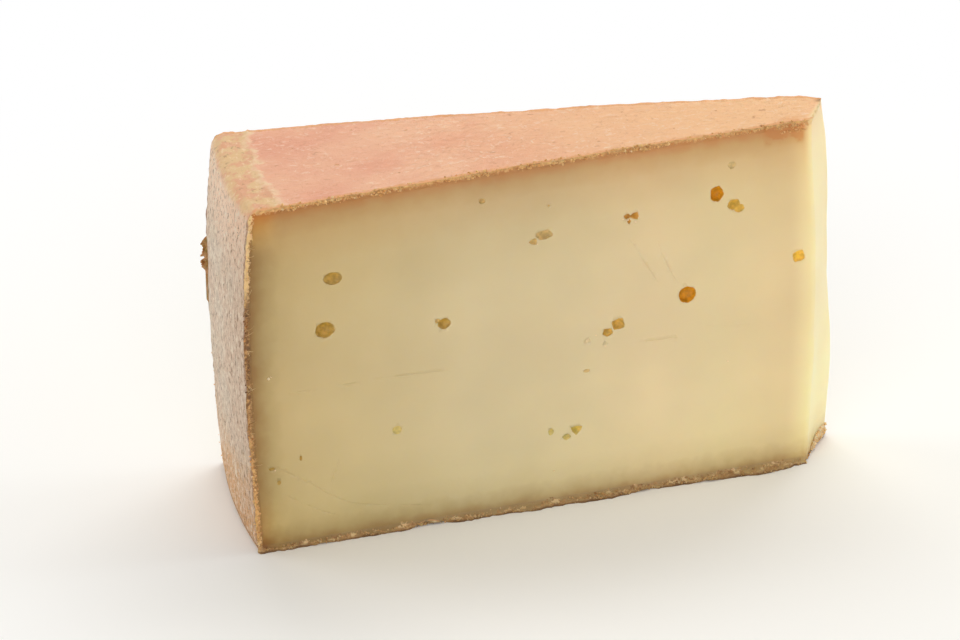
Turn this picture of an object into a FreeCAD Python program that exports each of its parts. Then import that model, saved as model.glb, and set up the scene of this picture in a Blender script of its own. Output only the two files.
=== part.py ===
"""A tall wedge cut from a semi-hard, washed-rind mountain cheese, with its tip trimmed off.

The wedge is a narrow sector of a low wheel. It stands on the wheel's base, with the rind on its base,
its top and its heel, and bare paste on two long cuts and on the narrow trimmed nose.

The body is drawn about the wheel's axis: the axis is Z, the heel faces -X and the front cut faces -Y.
It is then placed with the middle of its box over the origin and its base at height 0.
All sizes are in millimetres and degrees.
"""
import FreeCAD, Part
import math
import os
import Sketcher

SIZES = [
    ("wheel_radius", 180, "wheel's axis to the heel at the base"),
    ("wheel_height", 78, "base to the top at the heel"),
    ("top_crown", 2.9, "how much higher the top is at the wheel's axis"),
    ("heel_bulge", 1.9, "how far the heel swells past the base"),
    ("heel_widest", 46, "height at which the heel is widest"),
    ("rim_round_top", 3, "radius of the heel's upper edge"),
    ("rim_round_base", 2, "radius of the heel's lower edge"),
    ("wedge_angle", 14.2, "angle between the two long cuts"),
    ("cut_bulge", 1, "how far the paste swells out of each long cut, half way up"),
    ("nose_front", 55, "wheel's axis to the nose along the front cut"),
    ("nose_skew", 35, "turn of the nose from square across the front cut"),
    ("nose_bulge", 1.3, "how far the paste swells out of the nose, half way up"),
    ("nose_round", 0.8, "radius of the nose's two upright edges"),
    ("eye_depth", 0.4, "depth of an eye for each millimetre of its width"),
    ("spare", 20, "how far the cutting shapes run past the wedge"),
]

# Each eye: percent of the cut's length from the heel, percent of the height, width, height.
FRONT_EYES = [
    (14, 78, 4.0, 2.8),
    (12.5, 63.5, 4.2, 3.6),
    (33, 60.5, 3.3, 2.7),
    (40.5, 93.5, 1.6, 1.3),
    (51, 81, 4.4, 2.4),
    (25, 30.5, 2.2, 1.8),
    (52.5, 22.5, 1.5, 1.7),
    (55, 20, 2.0, 1.5),
    (57, 21.5, 2.7, 2.0),
    (59, 39, 1.8, 1.0),
    (59.5, 48, 1.4, 1.3),
    (62.5, 50, 2.8, 2.0),
    (64.5, 52, 3.1, 3.0),
    (67, 83, 3.3, 3.2),
    (77, 57.5, 3.9, 3.8),
    (82.5, 86, 3.2, 3.8),
    (86, 81.5, 3.5, 2.8),
    (85.5, 93.5, 2.0, 1.6),
    (97.5, 63.5, 2.9, 2.7),
    (4, 20.5, 1.2, 1.3),
]
BACK_EYES = [
    (9, 71, 3.4, 3.0),
    (17, 38, 3.9, 3.1),
    (21, 41.5, 2.4, 2.2),
    (24, 86, 1.7, 1.4),
    (31, 57, 3.6, 3.3),
    (37, 24, 2.1, 1.6),
    (42, 76, 4.1, 2.7),
    (45, 73, 2.6, 2.2),
    (49, 44, 3.0, 2.8),
    (56, 90, 1.5, 1.2),
    (60, 62, 3.7, 3.5),
    (66, 31, 2.8, 2.0),
    (68, 28, 1.9, 1.7),
    (73, 80, 3.1, 2.9),
    (79, 49, 3.5, 2.9),
    (85, 68, 2.2, 2.6),
    (91, 37, 3.0, 2.6),
    (95, 84, 2.3, 1.8),
]
EYE_COLUMNS = {"along": "B", "up": "C", "width": "D", "height": "E"}

HALF_WEDGE = "Sizes.wedge_angle / 2"
CUT_TOP = "(Sizes.wheel_height + Sizes.top_crown)"
BACK_CUT_LENGTH = (
    "(Sizes.wheel_radius - Sizes.nose_front * cos(Sizes.nose_skew)"
    " / cos(Sizes.wedge_angle - Sizes.nose_skew))"
)
FRONT_CUT_LENGTH = "(Sizes.wheel_radius - Sizes.nose_front)"


def make_sizes(document):
    """Write the driving dimensions into a sheet whose cells carry their names."""
    sheet = document.addObject("Spreadsheet::Sheet", "Sizes")
    for row, (alias, value, meaning) in enumerate(SIZES, start=1):
        sheet.set(f"A{row}", meaning)
        sheet.set(f"B{row}", str(value))
        sheet.setAlias(f"B{row}", alias)
    document.recompute()
    return sheet


def make_eye_sheet(document, name, eyes):
    """Write one cut's eyes into a sheet of their own, a row for each eye."""
    sheet = document.addObject("Spreadsheet::Sheet", name)
    for row, eye in enumerate(eyes, start=1):
        sheet.set(f"A{row}", f"eye {row}")
        for (measure, column), value in zip(EYE_COLUMNS.items(), eye):
            sheet.set(f"{column}{row}", str(value))
            sheet.setAlias(f"{column}{row}", f"{measure}_{row}")
    document.recompute()


def origin_plane(body, role):
    """Return the body's own origin plane that plays the given role."""
    return next(item for item in body.Origin.OriginFeatures if item.Role == role)


def attach(item, plane):
    """Lay a sketch, a datum plane or a primitive on a plane."""
    item.AttachmentSupport = [(plane, "")]
    item.MapMode = "FlatFace"


def turn_upright(item, degrees):
    """Turn an item about the upright line of the plane it lies on, by an expression."""
    upright = FreeCAD.Rotation(FreeCAD.Vector(0, 1, 0), 1)
    item.AttachmentOffset = FreeCAD.Placement(FreeCAD.Vector(), upright)
    item.setExpression("AttachmentOffset.Rotation.Angle", degrees)


def bind(sketch, name, expression, kind, *arguments):
    """Add a named dimension to a sketch and tie it to the sheet."""
    index = sketch.addConstraint(Sketcher.Constraint(kind, *arguments))
    sketch.renameConstraint(index, name)
    sketch.setExpression(f"Constraints.{name}", expression)


def line(start, end):
    """Return a straight piece of a sketch."""
    return Part.LineSegment(FreeCAD.Vector(*start, 0), FreeCAD.Vector(*end, 0))


def arc(centre, radius, start, end):
    """Return an arc of a sketch, counter-clockwise between two points on its circle."""
    angles = [math.atan2(point[1] - centre[1], point[0] - centre[0]) for point in (start, end)]
    circle = Part.Circle(FreeCAD.Vector(*centre, 0), FreeCAD.Vector(0, 0, 1), radius)
    return Part.ArcOfCircle(circle, angles[0], angles[1] % (2 * math.pi))


def join(sketch, *ends):
    """Tie pairs of ends together, each given as an element and its start (1) or end (2)."""
    for first, first_end, second, second_end in ends:
        sketch.addConstraint(Sketcher.Constraint("Coincident", first, first_end, second, second_end))


def rise_radius(reach, rise):
    """Return the radius of an arc that rises by a height over a reach from its highest point."""
    return (reach**2 + rise**2) / (2 * rise)


def make_wheel_profile(body, sizes):
    """Draw the wheel's radial section: flat base, heel of two arcs that meet upright, crowned top."""
    sketch = body.newObject("Sketcher::SketchObject", "WheelProfile")
    attach(sketch, origin_plane(body, "XZ_Plane"))
    edge = -sizes.wheel_radius
    widest = (edge - sizes.heel_bulge, sizes.heel_widest)
    crest = (0, sizes.wheel_height + sizes.top_crown)
    low_radius = rise_radius(sizes.heel_widest, sizes.heel_bulge)
    high_radius = rise_radius(sizes.wheel_height - sizes.heel_widest, sizes.heel_bulge)
    top_radius = rise_radius(sizes.wheel_radius, sizes.top_crown)
    low_centre = (widest[0] + low_radius, widest[1])
    high_centre = (widest[0] + high_radius, widest[1])
    top_centre = (0, crest[1] - top_radius)
    base, low, high, top, axis = sketch.addGeometry([
        line((0, 0), (edge, 0)),
        arc(low_centre, low_radius, widest, (edge, 0)),
        arc(high_centre, high_radius, (edge, sizes.wheel_height), widest),
        arc(top_centre, top_radius, crest, (edge, sizes.wheel_height)),
        line(crest, (0, 0)),
    ], False)
    join(sketch, (base, 1, -1, 1), (base, 2, low, 2), (low, 1, high, 2), (high, 1, top, 2))
    join(sketch, (top, 1, axis, 1), (axis, 2, base, 1))
    sketch.addConstraint(Sketcher.Constraint("Horizontal", base))
    sketch.addConstraint(Sketcher.Constraint("Horizontal", low, 3, low, 1))
    sketch.addConstraint(Sketcher.Constraint("Horizontal", high, 3, high, 2))
    sketch.addConstraint(Sketcher.Constraint("PointOnObject", top, 3, -2))
    sketch.addConstraint(Sketcher.Constraint("PointOnObject", top, 1, -2))
    bind(sketch, "base_radius", "Sizes.wheel_radius", "DistanceX", base, 2, -1, 1, sizes.wheel_radius)
    bind(sketch, "widest_radius", "Sizes.wheel_radius + Sizes.heel_bulge",
         "DistanceX", low, 1, -1, 1, -widest[0])
    bind(sketch, "widest_height", "Sizes.heel_widest", "DistanceY", -1, 1, low, 1, widest[1])
    bind(sketch, "heel_radius", "Sizes.wheel_radius", "DistanceX", high, 1, -1, 1, sizes.wheel_radius)
    bind(sketch, "heel_height", "Sizes.wheel_height", "DistanceY", -1, 1, high, 1, sizes.wheel_height)
    bind(sketch, "crest_height", CUT_TOP, "DistanceY", -1, 1, top, 1, crest[1])
    return sketch


def turn_sector(body, sketch):
    """Turn the wheel's section through the wedge and a little more, for the cuts to trim."""
    sector = body.newObject("PartDesign::Revolution", "Sector")
    sector.Profile = sketch
    sector.ReferenceAxis = (sketch, ["V_Axis"])
    sector.Midplane = True
    sector.setExpression("Angle", "Sizes.wedge_angle + Sizes.spare")
    sketch.Visibility = False
    return sector


def round_edges(body, base, name, belongs, radius):
    """Round those edges of the base feature that pass a test, by an expression for the radius."""
    edges = base.Shape.Edges
    chosen = [f"Edge{number}" for number, edge in enumerate(edges, start=1) if belongs(edge)]
    rounding = body.newObject("PartDesign::Fillet", name)
    rounding.Base = (base, chosen)
    rounding.setExpression("Radius", radius)
    return rounding


def is_rim(edge, radius, height):
    """Tell whether an edge runs round the wheel at this radius and height."""
    ends = [vertex.Point for vertex in edge.Vertexes]
    return len(ends) == 2 and all(
        abs(math.hypot(point.x, point.y) - radius) < 0.01 and abs(point.z - height) < 0.01
        for point in ends
    )


def cut_flat(body, sizes, name, turn, bulge):
    """Cut the sector along an upright face that swells out by an arc between base and top.

    The sketch stands across the face, its +X pointing into the cheese. Only what lies outside the
    arc is cut away, along the whole face.
    """
    sketch = body.newObject("Sketcher::SketchObject", f"{name}Profile")
    attach(sketch, origin_plane(body, "YZ_Plane"))
    turn_upright(sketch, turn)
    top = sizes.wheel_height + sizes.top_crown
    swell = sizes.get(sizes.getCellFromAlias(bulge))
    radius = rise_radius(top / 2, swell)
    outside = -(sizes.wheel_radius + sizes.spare)
    past_base = -sizes.spare
    past_top = top + sizes.spare
    face, above, over, far, under, below = sketch.addGeometry([
        arc((radius - swell, top / 2), radius, (0, top), (0, 0)),
        line((0, top), (0, past_top)),
        line((0, past_top), (outside, past_top)),
        line((outside, past_top), (outside, past_base)),
        line((outside, past_base), (0, past_base)),
        line((0, past_base), (0, 0)),
    ], False)
    join(sketch, (face, 2, -1, 1), (face, 1, above, 1), (above, 2, over, 1), (over, 2, far, 1))
    join(sketch, (far, 2, under, 1), (under, 2, below, 1), (below, 2, face, 2))
    for upright in (above, far, below):
        sketch.addConstraint(Sketcher.Constraint("Vertical", upright))
    for level in (over, under):
        sketch.addConstraint(Sketcher.Constraint("Horizontal", level))
    sketch.addConstraint(Sketcher.Constraint("PointOnObject", face, 1, -2))
    bind(sketch, "face_height", CUT_TOP, "DistanceY", -1, 1, face, 1, top)
    bind(sketch, "face_radius", f"(({CUT_TOP} / 2) ^ 2 + Sizes.{bulge} ^ 2) / (2 * Sizes.{bulge})",
         "Radius", face, radius)
    bind(sketch, "past_top", "Sizes.spare", "DistanceY", above, 1, above, 2, sizes.spare)
    bind(sketch, "past_base", "Sizes.spare", "DistanceY", below, 1, below, 2, sizes.spare)
    bind(sketch, "outside", "Sizes.wheel_radius + Sizes.spare", "DistanceX", over, 2, over, 1, -outside)
    pocket = body.newObject("PartDesign::Pocket", name)
    pocket.Profile = sketch
    pocket.Midplane = True
    pocket.setExpression("Length", "2 * (Sizes.wheel_radius + Sizes.spare)")
    sketch.Visibility = False
    return pocket, sketch


def place_nose(sketch):
    """Move the nose's sketch from the wheel's axis to where the nose meets the front cut."""
    sketch.setExpression("AttachmentOffset.Base.x", f"-Sizes.nose_front * sin({HALF_WEDGE})")
    sketch.setExpression("AttachmentOffset.Base.z", f"-Sizes.nose_front * cos({HALF_WEDGE})")


def is_nose_edge(edge, sizes):
    """Tell whether an edge runs up the nose, from the base to the top."""
    box = edge.BoundBox
    near_axis = box.XMin > -1.5 * sizes.nose_front
    return near_axis and box.ZMin < 0.01 and box.ZMax > sizes.wheel_height


def make_cut_plane(body, name, turn):
    """Lay a datum plane on a long cut, facing outwards, with its origin on the wheel's axis."""
    plane = body.newObject("PartDesign::Plane", name)
    attach(plane, origin_plane(body, "XZ_Plane"))
    turn_upright(plane, turn)
    plane.Visibility = False
    return plane


def open_eyes(body, plane, sheet_name, count, cut_length, heel_side):
    """Open a row of eyes in a long cut, each a flattened hollow centred on the swollen face."""
    for row in range(1, count + 1):
        eye = body.newObject("PartDesign::SubtractiveEllipsoid", f"{sheet_name}{row}")
        attach(eye, plane)
        share = f"{sheet_name}.along_{row} / 100"
        level = f"{sheet_name}.up_{row} / 100"
        distance = f"(Sizes.wheel_radius - {share} * {cut_length})"
        eye.setExpression("AttachmentOffset.Base.x", f"{heel_side} * {distance}")
        eye.setExpression("AttachmentOffset.Base.y", f"{level} * Sizes.wheel_height")
        eye.setExpression("AttachmentOffset.Base.z", f"Sizes.cut_bulge * (1 - (2 * {level} - 1) ^ 2)")
        eye.setExpression("Radius1", f"Sizes.eye_depth * {sheet_name}.width_{row}")
        eye.setExpression("Radius2", f"{sheet_name}.width_{row} / 2")
        eye.setExpression("Radius3", f"{sheet_name}.height_{row} / 2")


def make_wedge(document, sizes):
    """Build the wedge: sector, rounded heel, three cuts, rounded nose, and the eyes."""
    body = document.addObject("PartDesign::Body", "CheeseWedge")
    body.Label = "cheese_wedge"
    sector = turn_sector(body, make_wheel_profile(body, sizes))
    document.recompute()
    radius = sizes.wheel_radius
    top_rim = round_edges(body, sector, "TopRim",
                          lambda edge: is_rim(edge, radius, sizes.wheel_height), "Sizes.rim_round_top")
    document.recompute()
    round_edges(body, top_rim, "BaseRim", lambda edge: is_rim(edge, radius, 0), "Sizes.rim_round_base")
    document.recompute()
    cut_flat(body, sizes, "FrontCut", HALF_WEDGE, "cut_bulge")
    cut_flat(body, sizes, "BackCut", f"180 - {HALF_WEDGE}", "cut_bulge")
    nose, nose_sketch = cut_flat(body, sizes, "NoseCut", f"90 + {HALF_WEDGE} - Sizes.nose_skew",
                                 "nose_bulge")
    place_nose(nose_sketch)
    document.recompute()
    round_edges(body, nose, "NoseEdges", lambda edge: is_nose_edge(edge, sizes), "Sizes.nose_round")
    document.recompute()
    front = make_cut_plane(body, "FrontPlane", HALF_WEDGE)
    back = make_cut_plane(body, "BackPlane", f"180 - {HALF_WEDGE}")
    open_eyes(body, front, "FrontEyes", len(FRONT_EYES), FRONT_CUT_LENGTH, -1)
    open_eyes(body, back, "BackEyes", len(BACK_EYES), BACK_CUT_LENGTH, 1)
    document.recompute()
    box = body.Shape.optimalBoundingBox(False)
    body.Placement.Base = FreeCAD.Vector(-box.Center.x, -box.Center.y, -box.ZMin)
    document.recompute()
    return body


def check(document, body):
    """Stop on any failed object, any cut that took nothing away, or a shape that isn't one solid."""
    for item in document.Objects:
        if "Invalid" in item.State or "Error" in item.State:
            raise RuntimeError(f"{item.Label} failed: {item.State}")
    for item in body.Group:
        if "Pocket" in item.TypeId and item.Shape.Volume > 0.99 * item.BaseFeature.Shape.Volume:
            raise RuntimeError(f"{item.Label} cut nothing")
        if "Ellipsoid" in item.TypeId and len(item.Shape.Faces) <= len(item.BaseFeature.Shape.Faces):
            raise RuntimeError(f"{item.Label} opened no hollow")
    if body.Shape.isNull() or not body.Shape.isValid() or len(body.Shape.Solids) != 1:
        raise RuntimeError(f"{body.Label} isn't one valid solid")


def main():
    document = FreeCAD.newDocument("VacherinWedge")
    sizes = make_sizes(document)
    make_eye_sheet(document, "FrontEyes", FRONT_EYES)
    make_eye_sheet(document, "BackEyes", BACK_EYES)
    wedge = make_wedge(document, sizes)
    check(document, wedge)
    os.makedirs("parts", exist_ok=True)
    wedge.Shape.exportStep(f"parts/{wedge.Label}.step")
    box = wedge.Shape.optimalBoundingBox(False)
    print(f"{wedge.Label}: {box.XLength:.2f} x {box.YLength:.2f} x {box.ZLength:.2f} mm,"
          f" {wedge.Shape.Volume / 1000:.1f} ml")


main()
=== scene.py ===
import bmesh
import bpy
import random
from math import atan2, cos, hypot, pi, radians, sin
from mathutils import Euler, Matrix, Vector, noise


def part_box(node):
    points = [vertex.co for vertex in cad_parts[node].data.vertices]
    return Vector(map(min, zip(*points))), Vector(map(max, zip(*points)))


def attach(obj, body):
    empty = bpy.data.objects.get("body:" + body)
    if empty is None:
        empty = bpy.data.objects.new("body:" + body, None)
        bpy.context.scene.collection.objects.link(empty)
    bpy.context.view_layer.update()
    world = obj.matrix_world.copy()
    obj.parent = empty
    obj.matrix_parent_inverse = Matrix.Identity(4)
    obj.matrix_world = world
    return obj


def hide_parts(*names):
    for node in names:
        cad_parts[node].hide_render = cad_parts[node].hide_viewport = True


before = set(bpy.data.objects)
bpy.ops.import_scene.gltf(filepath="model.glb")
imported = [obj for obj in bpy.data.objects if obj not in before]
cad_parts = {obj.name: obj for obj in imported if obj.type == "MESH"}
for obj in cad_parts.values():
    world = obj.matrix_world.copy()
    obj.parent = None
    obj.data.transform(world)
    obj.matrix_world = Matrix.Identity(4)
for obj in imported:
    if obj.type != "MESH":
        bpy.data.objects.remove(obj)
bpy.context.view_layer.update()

mm = 0.001
up = Vector((0, 0, 1))
white = (1, 1, 1, 1)


# Small helpers
def clamp(value, low=0.0, high=1.0):
    return max(low, min(high, value))


def blend(low, high, share):
    return low + (high - low) * share


def ease(low, high, value):  # 0 below low, 1 above high, smooth between
    share = clamp((value - low) / (high - low))
    return share * share * (3 - 2 * share)


def hump(value, middle, width):  # 1 at the middle, 0 from a width away
    off = (value - middle) / width
    return max(0.0, 1 - off * off)


def humps(value, places):  # metres, from the middle, width and height of each in millimetres
    return sum(height * mm * hump(value, middle, width) ** 2 for middle, width, height in places)


def atStart(share):
    return share < 0.0001


def atEnd(share):
    return share > 0.9999


def threeOf(draw, *limits):  # a vector of three random draws
    return Vector([draw(*limits) for _ in range(3)])


def tint(red, green, blue):  # screen colour, 0 to 255, as the linear colour that shaders take
    channels = [value / 255 for value in (red, green, blue)]
    linear = [c / 12.92 if c <= 0.04045 else ((c + 0.055) / 1.055) ** 2.4 for c in channels]
    return (*linear, 1.0)


# Camera
camera = {
    "azimuth": -11.83,
    "elevation": 24.25,
    "roll": -0.78,
    "lens": 200.0,
    "distance": 1.146,
    "aimAlong": -0.1100,   # from the wheel's axis
    "aimHeight": 0.0390,
    "slideRight": -0.01518,
    "slideUp": -0.00196,
}

wheel = {
    "radius": 0.180,
    "height": 0.078,
    "crown": 0.0029,
    "heelBulge": 0.0019,
    "heelWidest": 0.046,
    "rimTop": 0.0024,
    "rimBase": 0.0008,
    "angle": radians(14.2),
    "cutBulge": 0.001,
    "noseFront": 0.055,
    "noseSkew": radians(35),
    "noseBulge": 0.0011,
    "noseBelly": 0.0013,    # a fuller place low on the nose, towards its back edge
    "bellyLevel": 0.18,     # its middle and reach, shares of the height
    "bellyReach": 0.30,
    "noseRound": 0.0006,
    "noseLumps": 0.0004,
    "tipWear": 0.0009,      # the thin top corner of the nose is worn back and down
    "tipLevel": 0.86,       # from this share of the height up
}

lowCorner, highCorner = (Vector(corner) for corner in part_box("cheese_wedge"))
wheelAxis = Vector((
    lowCorner.x + wheel["radius"] + wheel["heelBulge"],
    (lowCorner.y + highCorner.y) / 2,
    lowCorner.z,
))


def makeCamera():
    turn = radians(camera["azimuth"])
    rise = radians(camera["elevation"])
    tip = radians(camera["roll"])
    back = Vector((sin(turn) * cos(rise), -cos(turn) * cos(rise), sin(rise)))
    right = Vector((cos(turn), sin(turn), 0))
    above = back.cross(right)
    tippedRight = cos(tip) * right + sin(tip) * above
    tippedUp = cos(tip) * above - sin(tip) * right
    aim = wheelAxis + Vector((camera["aimAlong"], 0, camera["aimHeight"]))
    aim += camera["slideRight"] * right + camera["slideUp"] * up
    lens = bpy.data.cameras.new("viewCamera")
    lens.lens = camera["lens"]
    lens.sensor_width = 36
    lens.clip_start = 0.05
    lens.clip_end = 20
    holder = bpy.data.objects.new("viewCamera", lens)
    bpy.context.collection.objects.link(holder)
    axes = Matrix((tippedRight, tippedUp, back)).transposed()
    holder.matrix_world = Matrix.Translation(aim + camera["distance"] * back) @ axes.to_4x4()
    bpy.context.scene.camera = holder


makeCamera()
print("camera placed")


# Wedge shape
def heelRadius(height):  # swells most at heelWidest
    reach = wheel["heelWidest"] if height < wheel["heelWidest"] else wheel["height"] - wheel["heelWidest"]
    off = (height - wheel["heelWidest"]) / reach
    return wheel["radius"] + wheel["heelBulge"] * (1 - off * off)


def topHeight(radius):
    return wheel["height"] + wheel["crown"] * (1 - (radius / wheel["radius"]) ** 2)


def noseRadius(turn):  # turn is counted from the front cut
    lean = pi / 2 - wheel["noseSkew"]
    return wheel["noseFront"] * sin(lean) / sin(lean + turn)


def radiusAt(place):
    return hypot(place.x - wheelAxis.x, place.y - wheelAxis.y)


def fromRim(radius):  # millimetres from the heel's rim towards the wheel's axis
    return (wheel["radius"] - radius) / mm


def cutTurn(isFront):
    return 0 if isFront else wheel["angle"]


def swell(share, amount):
    return amount * 4 * share * (1 - share)


def outward(turn):  # from the wheel's axis towards the heel
    angle = turn - wheel["angle"] / 2
    return Vector((-cos(angle), sin(angle), 0))


def sideways(turn):  # from the front cut towards the back cut
    angle = turn - wheel["angle"] / 2
    return Vector((sin(angle), cos(angle), 0))


def roundCorner(first, second, radius):  # two distances from a corner's faces, moved onto its round
    if first >= radius or second >= radius:
        return first, second
    away = Vector((radius - first, radius - second))
    away *= radius / max(away.length, radius)
    return radius - away.x, radius - away.y


def wedgePoint(along, across, level):  # shares from heel to nose, front to back, base to top
    turn = wheel["angle"] * across
    heel = heelRadius(level * wheel["height"])
    worn = wheel["tipWear"] * ease(wheel["tipLevel"], 1, level) * ease(0.2, 1, across)
    lumps = wheel["noseLumps"] * noise.noise(Vector((across * 1.5, level * 7, 2.7)))
    belly = wheel["noseBelly"] * hump(level, wheel["bellyLevel"], wheel["bellyReach"]) * ease(0.3, 1, across)
    nose = noseRadius(turn) - swell(level, wheel["noseBulge"]) - belly + worn + lumps
    radius = blend(heel, nose, along)
    top = topHeight(radius) - 0.8 * worn * ease(0.96, 1, along)
    inset, drop = roundCorner(heel - radius, top - level * top, wheel["rimTop"])
    inset, height = roundCorner(inset, top - drop, wheel["rimBase"])
    radius = heel - inset
    reach = radius * wheel["angle"]
    fromFront = reach * across
    fromBack = reach - fromFront
    nearest = min(fromFront, fromBack)
    fromNose, rounded = roundCorner(radius - nose, nearest, wheel["noseRound"])
    radius = nose + fromNose
    moved = rounded - nearest
    turn += (moved if fromFront < fromBack else -moved) / radius
    bulge = swell(level, wheel["cutBulge"]) * (2 * across - 1)
    return wheelAxis + radius * outward(turn) + bulge * sideways(turn) + height * up


# Waves left in the paste by the cutter, and its tiny grain, outwards from a long cut.
cutWaves = {
    "broad": 0.00014,
    "broadScale": 55.0,
    "drag": 0.00003,
    "dragScales": (22.0, 9.0, 330.0),
}


def cutWave(place):
    broad = noise.noise(place * cutWaves["broadScale"])
    return cutWaves["broad"] * broad + cutWaves["drag"] * noise.noise(place * Vector(cutWaves["dragScales"]))


def cutSpot(isFront, along, height):  # a point on a long cut, millimetres from the heel and up
    turn = cutTurn(isFront)
    facing = -sideways(turn) if isFront else sideways(turn)
    radius = wheel["radius"] - along * mm
    bulge = swell(height * mm / topHeight(radius), wheel["cutBulge"])
    place = wheelAxis + radius * outward(turn) + height * mm * up + bulge * facing
    return place + cutWave(place) * facing, facing, outward(turn)


# Wedge mesh
wedgeMesh = {
    "cells": (186, 64, 96),             # along, across and up
    "crowding": (0.3, 0.55, 0.55),      # how much closer the cells lie at the ends than in the middle
}


def crowd(share, amount):  # evenly spaced shares, drawn towards both ends
    return share - amount * sin(2 * pi * share) / (2 * pi)


def makeBlank():  # a box of cells, bent and tapered to the wedge, each point keeping its shares
    mesh = bmesh.new()
    bmesh.ops.create_cube(mesh, size=1)
    bmesh.ops.translate(mesh, vec=(0.5, 0.5, 0.5), verts=mesh.verts)
    for axis, cells in enumerate(wedgeMesh["cells"]):
        chosen = [
            edge for edge in mesh.edges
            if abs((edge.verts[1].co - edge.verts[0].co).normalized()[axis]) > 0.9
        ]
        bmesh.ops.subdivide_edges(mesh, edges=chosen, cuts=cells - 1, use_grid_fill=True)
    shares = []
    for vertex in mesh.verts:
        share = Vector([crowd(*pair) for pair in zip(vertex.co, wedgeMesh["crowding"])])
        shares.append(share)
        vertex.co = wedgePoint(*share)
    bmesh.ops.recalc_face_normals(mesh, faces=mesh.faces)
    mesh.normal_update()
    return mesh, shares


topRelief = {
    "wave": 0.00015,
    "hump": 0.00045,         # the top is fullest midway along its back edge
    "humpLength": 0.125,
    "wrinkle": 0.00010,
    "rimWrinkle": 0.00028,
    "rimWidth": 0.0072,      # the paler band along the heel's upper edge
    "ridge": 0.00030,
    "ridgeWidth": 0.0007,
}

heelRelief = {
    "wave": 0.00028,
    "streak": 0.00016,
    "grain": 0.00010,
    "footFade": 0.004,      # it dies out over this height above the base
}

edgeRelief = {
    "lip": 0.00045,         # how far the dry rind stands out of the softer cut
    "lipWidth": 0.0011,
    "frontFoot": 0.0012,    # how far the base rind is squeezed out under the front and back cuts
    "backFoot": 0.0003,
    # where it is squeezed out further under the front cut: middle, width and reach
    "footBulges": [
        (38.0, 6.0, -0.8), (47.0, 6.0, 0.3), (62.0, 8.0, 0.9), (77.0, 11.0, 1.1),
        (104.0, 12.0, 0.9), (115.0, 8.0, 1.6),
    ],
    "rag": 0.00040,
    "ragScale": 900.0,
    "waveFade": 0.004,      # the cutter's waves die out this near to the rind
    "baseLift": 0.0002,     # small unevenness where the base rind meets the table
    "baseDepth": 0.005,     # how far in from the cuts it reaches
    # places along the front and back cuts where it leaves the table: middle, width and height
    "frontNotches": [(38.0, 4.6, 1.0), (87.0, 3.5, 0.3), (14.0, 3.0, 0.25), (101.0, 4.0, 0.3)],
    "backNotches": [(22.0, 5.0, 0.6), (58.0, 4.0, 0.8), (96.0, 6.0, 0.5)],
}


def rimWander(place):  # the pale ridge wanders about its place
    return 0.0009 * noise.noise(place * 160) + 0.0004 * noise.noise(place * 600)


def crinkle(x, y, z, slack=0.8):
    return noise.fractal(Vector((x, y, z)), slack, 2.1, 3)


def topLift(place, radius):
    inward = wheel["radius"] - radius
    lift = topRelief["wave"] * noise.noise(place * 90)
    across = atan2(place.y - wheelAxis.y, wheelAxis.x - place.x) / wheel["angle"] + 0.5
    fullness = sin(pi * clamp(inward / topRelief["humpLength"])) * ease(0.2, 1, across)
    lift += topRelief["hump"] * fullness
    lift += topRelief["wrinkle"] * crinkle(place.x * 260, place.y * 950, 3.1)
    inBand = 1 - ease(0.7, 1.1, inward / topRelief["rimWidth"])
    lift += inBand * topRelief["rimWrinkle"] * crinkle(place.x * 620, place.y * 420, 7.7, 0.7)
    wandered = inward + rimWander(place)
    return lift + topRelief["ridge"] * hump(wandered, topRelief["rimWidth"], topRelief["ridgeWidth"])


def heelLift(place):
    lift = heelRelief["wave"] * noise.noise(place * 80)
    lift += heelRelief["streak"] * crinkle(place.x * 200, place.y * 900, place.z * 190)
    lift += heelRelief["grain"] * noise.noise(place * 1400)
    return lift * ease(0, heelRelief["footFade"], place.z)


def rag(place, seed):  # crumbly unevenness along an edge, 0 to 1
    coarse = noise.noise(place * 300 + Vector((seed, 0, 0)))
    fine = noise.noise(place * edgeRelief["ragScale"] + Vector((0, seed, 0)))
    return clamp(0.5 + 0.45 * coarse + 0.55 * fine)


def footPush(isFront, radius, height):  # how far the base rind stands out of a long cut
    reach = edgeRelief["frontFoot"] if isFront else edgeRelief["backFoot"]
    if isFront:
        reach += humps(fromRim(radius), edgeRelief["footBulges"])
    return reach * (1 - ease(0.1, 1.0, height / edgeRelief["lipWidth"]))


def baseNotch(place, across, radius):  # how far the base is off the table near the cuts
    fromEdge = min(across, 1 - across) * radius * wheel["angle"]
    unevenness = clamp(noise.noise(Vector((place.x * 90, across * 3, 5.2))) - 0.1)
    notch = edgeRelief["baseLift"] * unevenness
    notch += humps(fromRim(radius), edgeRelief["frontNotches" if across < 0.5 else "backNotches"])
    return notch * (1 - ease(0, edgeRelief["baseDepth"], fromEdge))


def reliefAt(place, share, normal):
    along, across, level = share
    radius = radiusAt(place)
    out = outward(wheel["angle"] * across)
    move = Vector()
    if atStart(along):
        move += heelLift(place) * out
    elif atEnd(level):
        move += topLift(place, radius) * up
    if atStart(level):
        move += baseNotch(place, across, radius) * up
    onNose = atEnd(along)
    if onNose or atStart(across) or atEnd(across):
        side = -out if onNose else normal
        side = Vector((side.x, side.y, 0)).normalized()
        fromTop = topHeight(radius) - place.z
        rindDistance = min(fromTop, place.z, heelRadius(place.z) - radius)
        lip = 1 - ease(0.2, 1.0, rindDistance / edgeRelief["lipWidth"])
        bite = rag(place, 3.3)
        reach = cutWave(place) * ease(0, edgeRelief["waveFade"], rindDistance)
        reach += lip * (edgeRelief["lip"] * bite - edgeRelief["rag"] * (1 - bite))
        if not onNose and place.z < fromTop:
            reach += footPush(across < 0.5, radius, place.z)
        move += reach * side
    return move


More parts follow.
